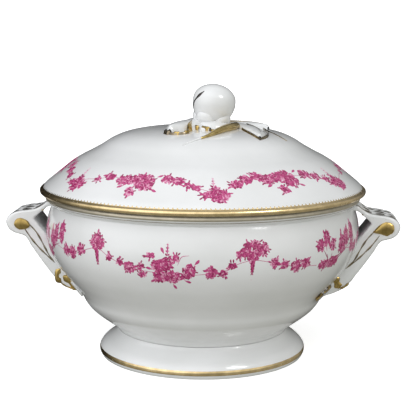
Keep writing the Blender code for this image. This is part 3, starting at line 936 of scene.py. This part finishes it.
def paint_flank(painter, strap, name, face):
    """The eye, the lines below it and the leaf's marks on one side of a handle."""
    surfaces = {"flank": strap.flank(face), "wall": strap.wall(face)}
    points, half_width, narrowing = EYES[name]
    eye = smooth(curl_line(points), 0.2 * MM)
    widths = eye_half_widths(eye, half_width, narrowing)
    painter.stroke("gold", surfaces["flank"], eye, widths, 1.6 * MM, columns=15)
    for points in EYE_LINES[name]:
        path = smooth(curl_line(points), 0.8 * MM)
        painter.stroke("dull", surfaces["flank"], path, varied(path, 0.62, 7), 0.25 * MM, columns=5)
    for points, half_width, surface in LEAF_MARKS[name]:
        path = smooth(curl_line(points), 0.7 * MM)
        widths = varied(path, half_width, 3, 0.2)
        painter.stroke("gold", surfaces[surface], path, widths, MARK_RISE[surface], columns=7)
    lobe = smooth(curl_line(LOBE), 0.7 * MM)
    widths = varied(lobe, LOBE_HALF_WIDTH, 2, 0.1)
    painter.stroke("leaf", surfaces["wall"], lobe, widths, 2.4 * MM, columns=13)


def make_handle(name, sign):
    strap = Strap(sign)
    cad = [f"handle_{name}", f"handle_{name}_leaf"]
    add_piece(strap.mesh(f"porcelain_handle_{name}"), PORCELAIN, "tureen", cad)
    painter = Painter()
    paint_stripes(painter, strap)
    paint_face_leaf(painter, strap)
    for face in (-1, 1):
        paint_flank(painter, strap, name, face)
    painter.finish(f"handle_{name}", "tureen")


# -------- finial

FRUIT_TILT = radians(9)
FRUIT_HEIGHT = 30 * MM
FRUIT_SHAPE = ((0, 1), (0.36, 0.965), (0.68, 0.88), (0.92, 0.73), (0.99, 0.56), (0.96, 0.39),
               (0.84, 0.22), (0.63, 0.08), (0.36, 0.01), (0, 0))
SEPALS = 4
SEPAL_LOW, SEPAL_LOBE = 9.5, 8.5  # mm from the fruit's foot to the gaps, and from there to the tips


class Fruit:
    """The tilted fruit of the knob: its surface by azimuth and by distance up from its lowest point."""

    def __init__(self):
        self.centre = (FRUIT_LOW + FRUIT_HIGH) / 2
        self.radius = (FRUIT_HIGH.y - FRUIT_LOW.y) / 2
        self.height = FRUIT_HEIGHT
        outline = [Vector((self.radius * out, self.height * up)) for out, up in reversed(FRUIT_SHAPE)]
        self.line = smooth(outline, 0.6 * MM)
        self.side = Side(self.line[::-1])

    def stand(self, point):
        """Tilts a point of the upright fruit about its middle, and moves it to its place."""
        x, y, z = point.x, point.y, point.z - self.height * 0.5
        cosine, sine = cos(FRUIT_TILT), sin(FRUIT_TILT)
        return self.centre + Vector((x * cosine + z * sine, y, z * cosine - x * sine))

    def surface(self, azimuth, up, lift):
        """Point at an azimuth from the front and a distance up the outline."""
        place, normal = self.side.at(self.side.distance[-1] - up)
        place = place + normal * lift
        return self.stand(Vector((place.x * sin(azimuth), -place.x * cos(azimuth), place.y)))

    def around(self, azimuth, up):
        """The surface round a place, in metres to the right and up."""
        radius = self.side.at(self.side.distance[-1] - up)[0].x
        return lambda x, y, lift: self.surface(azimuth + x / radius, up + y, lift)


def on_lid(x, y, lift):
    """The lid's top seen from above: x to the right, y to the back."""
    place = LID_TOP.at(LID_TOP.where(hypot(x, y), 0))[0]
    return Vector((x, y, place.y + lift))


def make_fruit():
    fruit = Fruit()
    mesh = turned_mesh("porcelain_fruit", fruit.line, 96)
    for vertex in mesh.vertices:
        vertex.co = fruit.stand(vertex.co)
    add_piece(mesh, PORCELAIN, "lid", ["finial_fruit"])

    vertices = []
    steps, rows = 144, 18
    for step in range(steps):
        azimuth = 2 * pi * step / steps
        lobe = abs(sin(SEPALS / 2 * (azimuth - radians(SEPAL_GAP)))) ** 0.5
        reach = (SEPAL_LOW + SEPAL_LOBE * lobe) * MM
        for row in range(rows + 1):
            share = row / rows
            swell = 2.0 + 2.2 * sin(pi * min(1.0, share * 1.05))
            lift = swell * MM * sqrt(max(0.0, 1 - share ** 10)) - 0.1 * MM * share
            vertices.append(fruit.surface(azimuth, reach * share, lift))
    faces = grid_faces(steps, rows + 1, round_rows=True)
    calyx = make_mesh("porcelain_sepals", vertices, faces, closed=False)
    add_piece(calyx, PORCELAIN, "lid", ["finial_calyx"])

    foot = fruit.stand(Vector((0, 0, 0)))
    line = [Vector((out * MM, foot.z + up * MM)) for out, up in COLLAR]
    mesh = turned_mesh("porcelain_collar", [line[0]] + smooth(line[1:-1], 0.8 * MM) + [line[-1]], 64)
    for vertex in mesh.vertices:
        vertex.co.x += foot.x
    add_piece(mesh, PORCELAIN, "lid")

    painter = Painter()
    # The seam on the fruit: gold painted near black, for the dark reflection it shows.
    seam = smooth([Vector(p) * MM for p in SEAM], 0.6 * MM)
    widths = spread_along(SEAM_HALF_WIDTHS, len(seam))
    painter.stroke("dark", fruit.around(radians(-53), 29 * MM), seam, widths, 0.3 * MM, columns=5)
    return painter


SEPAL_GAP = 17  # azimuth of one of the gaps between the sepals
COLLAR = ((0, -4), (17, -4), (16.6, -2.2), (15.4, -0.2), (13.6, 1.6), (10, 3), (0, 3))
SEAM = ((5.0, 5.6), (3.2, 3.0), (0.2, -0.6), (-3.2, -4.8), (-5.0, -10.0))
SEAM_HALF_WIDTHS = (0.4, 1.5, 0.8, 0.9, 0.2)
STEM = ((25.6, -10), (23.2, -18.5), (18, -31), (12.4, -43), (5.4, -54), (-3, -61.5), (-10.4, -67))
STEM_RADII = (2.8, 3, 2.9, 2.4, 1.3, 0.7, 0.35)
STEM_GILT = 0.78  # share of the stem that is gilded, from its thick end


def make_finial():
    painter = make_fruit()
    points = smooth(STEM, 1.0)
    radii = spread_along(STEM_RADII, len(points))
    path = [on_lid(p.x * MM, p.y * MM, r * 0.72) for p, r in zip(points, radii)]
    split = round(len(path) * STEM_GILT)
    stem = tube_mesh("gilded_stem", path[:split], radii[:split], 20)
    add_piece(stem, STEM_GOLD, "lid", ["finial_stem"])
    tip = tube_mesh("porcelain_stem_tip", path[split - 1:], radii[split - 1:], 16)
    add_piece(tip, PORCELAIN, "lid")

    for name, lobes in FINIAL_LEAVES.items():
        leaf_painter = Painter()
        for points, half_widths, thickness in lobes:
            line = smooth([Vector(p) * MM for p in points], 0.9 * MM)
            widths = spread_along(half_widths, len(line))
            leaf_painter.stroke(name, on_lid, line, widths, thickness * MM, columns=25)
        vertices, faces = leaf_painter.paint[name]
        mesh = make_mesh(f"porcelain_{name}", vertices, faces, closed=False)
        add_piece(mesh, PORCELAIN, "lid", [f"finial_{name}"])
    for tone, points, half_width, thickness in FINIAL_GOLD:
        line = smooth([Vector(p) * MM for p in points], 0.6 * MM)
        painter.stroke(tone, on_lid, line, varied(line, half_width, 3, 0.2), thickness * MM, columns=7)
    painter.finish("finial", "lid")


def spread_along(values, count):
    """The values in mm made into so many, evenly, by a smooth curve."""
    curve = spline([Vector((k, value)) for k, value in enumerate(values)], [20] * (len(values) - 1))
    return [curve[round(i * (len(curve) - 1) / (count - 1))].y * MM for i in range(count)]


# The leaves round the knob, in mm on the plan of the lid: midrib, half widths along it, and thickness.
FINIAL_LEAVES = {
    "leaf_left": (
        (((-3, -2), (-8, -12), (-14, -24), (-19, -35), (-22, -44)), (3, 9, 11, 8.5, 2), 6.5),
        (((-4, -14), (-2, -20), (2, -26), (7, -31)), (3, 4.5, 4, 1.5), 2.6),
    ),
    "leaf_right": (
        (((26, 2), (31, -6), (37, -16), (42, -28), (44, -43)), (3, 6, 7, 6, 1.5), 3.4),
        (((12, 14), (24, 17), (38, 14), (50, 4)), (3, 7, 8, 1.5), 4),
    ),
    "leaf_back": (
        (((2, 14), (-3, 25), (-8, 37), (-11, 50)), (4, 11.5, 10, 1), 4.5),
    ),
}

# Gold on the leaves and beside them, and a porcelain twig whose shade is painted in dull gold, in mm on
# the plan of the lid: tone, path, half width and height.
FINIAL_GOLD = (
    ("dull", ((-25.5, -38), (-24, -42), (-21.4, -44.4)), 1.8, 3),
    ("dull", ((-22, -44.2), (-19, -45.6), (-14, -46.2), (-10.4, -44.6), (-8, -40.6)), 0.8, 1.8),
    ("gold", ((-18.6, -45.4), (-16.5, -46), (-14.6, -46)), 1, 2.4),
    ("gold", ((-11, -44.8), (-9.6, -43.6), (-8.2, -41.4)), 1, 2.6),
    ("gold", ((-9, -38), (-8, -27), (-8, -16), (-10, -8)), 1.9, 6.4),
    ("gold", ((-6.8, -20), (-4.8, -25), (-1.6, -28.5)), 1.5, 3.6),
    ("gold", ((0.4, -26), (3.4, -29.5), (6.6, -31.5)), 1.3, 3.2),
    ("gold", ((7.6, -32), (10.2, -33.6), (13, -35)), 0.8, 1.6),
    ("dull", ((29, 6), (29.6, -8), (31.6, -22), (38.2, -36), (44, -45)), 0.75, 1.6),
    ("dull", ((44, -45), (49, -33), (49.4, -17), (46, -2)), 0.75, 1.6),
    ("dull", ((33, -2), (37.5, -12), (42, -24), (44.6, -36)), 0.45, 3.6),
    ("dull", ((10, 10), (24, 13), (36, 12), (46, 6)), 0.6, 3.9),
    # A thin porcelain twig on the lid: the dull gold paints its shade grey.
    ("dull", ((48, -4), (54, -15), (60, -22), (64, -25)), 0.8, 0.5),
)


# -------- the studio

SWEEP_FLAT, SWEEP_RADIUS, SWEEP_TOP = 1.8, 1.0, 4.0
LAMP_PLACE, LAMP_TARGET = Vector((0.90, -0.73, 1.20)), Vector((0, 0, 0.1))
LAMP_SIZE, LAMP_POWER = 0.62, 7.5


def make_studio():
    """A white round sweep, a soft sky, and one small lamp for the crisp highlights."""
    outline = [Vector((0, 0))]
    for degrees in range(0, 91, 10):
        angle = radians(degrees)
        x = SWEEP_FLAT + SWEEP_RADIUS * sin(angle)
        outline.append(Vector((x, SWEEP_RADIUS * (1 - cos(angle)))))
    outline.append(Vector((SWEEP_FLAT + SWEEP_RADIUS, SWEEP_TOP)))
    mesh = turned_mesh("studio_sweep", outline, 72, closed=False)
    sweep = new_object("studio_sweep", mesh)
    mesh.materials.append(floor_material())
    mesh.shade_smooth()
    sweep.visible_diffuse = False
    sweep.visible_glossy = False
    sweep.visible_shadow = False
    bpy.context.scene.view_settings.view_transform = "Standard"
    make_world()
    make_lamp()


def make_lamp():
    data = bpy.data.lights.new("highlight_lamp", "AREA")
    data.shape = "DISK"
    data.size = LAMP_SIZE
    data.energy = LAMP_POWER
    lamp = new_object("highlight_lamp", data)
    lamp.location = LAMP_PLACE
    lamp.rotation_euler = (LAMP_TARGET - LAMP_PLACE).to_track_quat("-Z", "Y").to_euler()
    lamp.visible_diffuse = False


SKY = (  # colour by height, from straight down to straight up
    (0.0, (0.36, 0.36, 0.32)),
    (0.42, (0.36, 0.36, 0.325)),
    (0.55, (0.47, 0.47, 0.455)),
    (1.0, (0.63, 0.64, 0.645)),
)
SKY_PATCHES = (
    # how it works on the sky, towards it, angle to its edge in degrees, colour
    ("ADD", (-0.55, -0.62, 0.56), 62, (1.25, 1.26, 1.31)),
    ("ADD", (0.62, -0.55, 0.50), 52, (0.52, 0.52, 0.50)),
    ("MULTIPLY", (-0.35, 0.93, -0.05), 80, (0.02, 0.02, 0.02)),
)


def smooth_patch(tree, direction, towards, edge):
    """One in a direction of the sky, falling smoothly to nothing at an angle from it."""
    inputs = {0: direction, 1: Vector(towards).normalized()}
    dot = add_node(tree, "VectorMath", inputs, operation="DOT_PRODUCT")
    inputs = {"Value": dot.outputs["Value"], "From Min": cos(radians(edge))}
    patch = add_node(tree, "MapRange", inputs, interpolation_type="SMOOTHSTEP")
    return patch.outputs["Result"]


def make_world():
    """The sky by height, with its smooth round patches."""
    world = bpy.data.worlds.new("studio")
    world.use_nodes = True
    tree = world.node_tree
    direction = tree.nodes.new("ShaderNodeTexCoord").outputs["Generated"]
    split = add_node(tree, "SeparateXYZ", {"Vector": direction})
    height = add_node(tree, "MapRange", {"Value": split.outputs["Z"], "From Min": -1.0})
    total = ramp(tree, height.outputs["Result"], SKY)
    for blend, towards, edge, colour in SKY_PATCHES:
        patch = smooth_patch(tree, direction, towards, edge)
        inputs = {"Fac": patch, "Color1": total, "Color2": (*colour, 1.0)}
        total = add_node(tree, "MixRGB", inputs, blend_type=blend).outputs["Color"]
    set_inputs(tree, tree.nodes["Background"], {"Color": total})
    bpy.context.scene.world = world


def make_camera():
    data = bpy.data.cameras.new("camera")
    data.lens = CAMERA_LENS
    camera = new_object("camera", data)
    across, back = CAMERA_DISTANCE * sin(CAMERA_TURN), -CAMERA_DISTANCE * cos(CAMERA_TURN)
    camera.location = (across, back, CAMERA_HEIGHT)
    camera.rotation_mode = "XYZ"
    camera.rotation_euler = (pi / 2 - CAMERA_PITCH, CAMERA_ROLL, CAMERA_YAW)
    bpy.context.scene.camera = camera


make_camera()
make_studio()
make_turned_pieces()
make_gilding()
paint_swags()
make_handle("right", 1)
make_handle("left", -1)
make_finial()
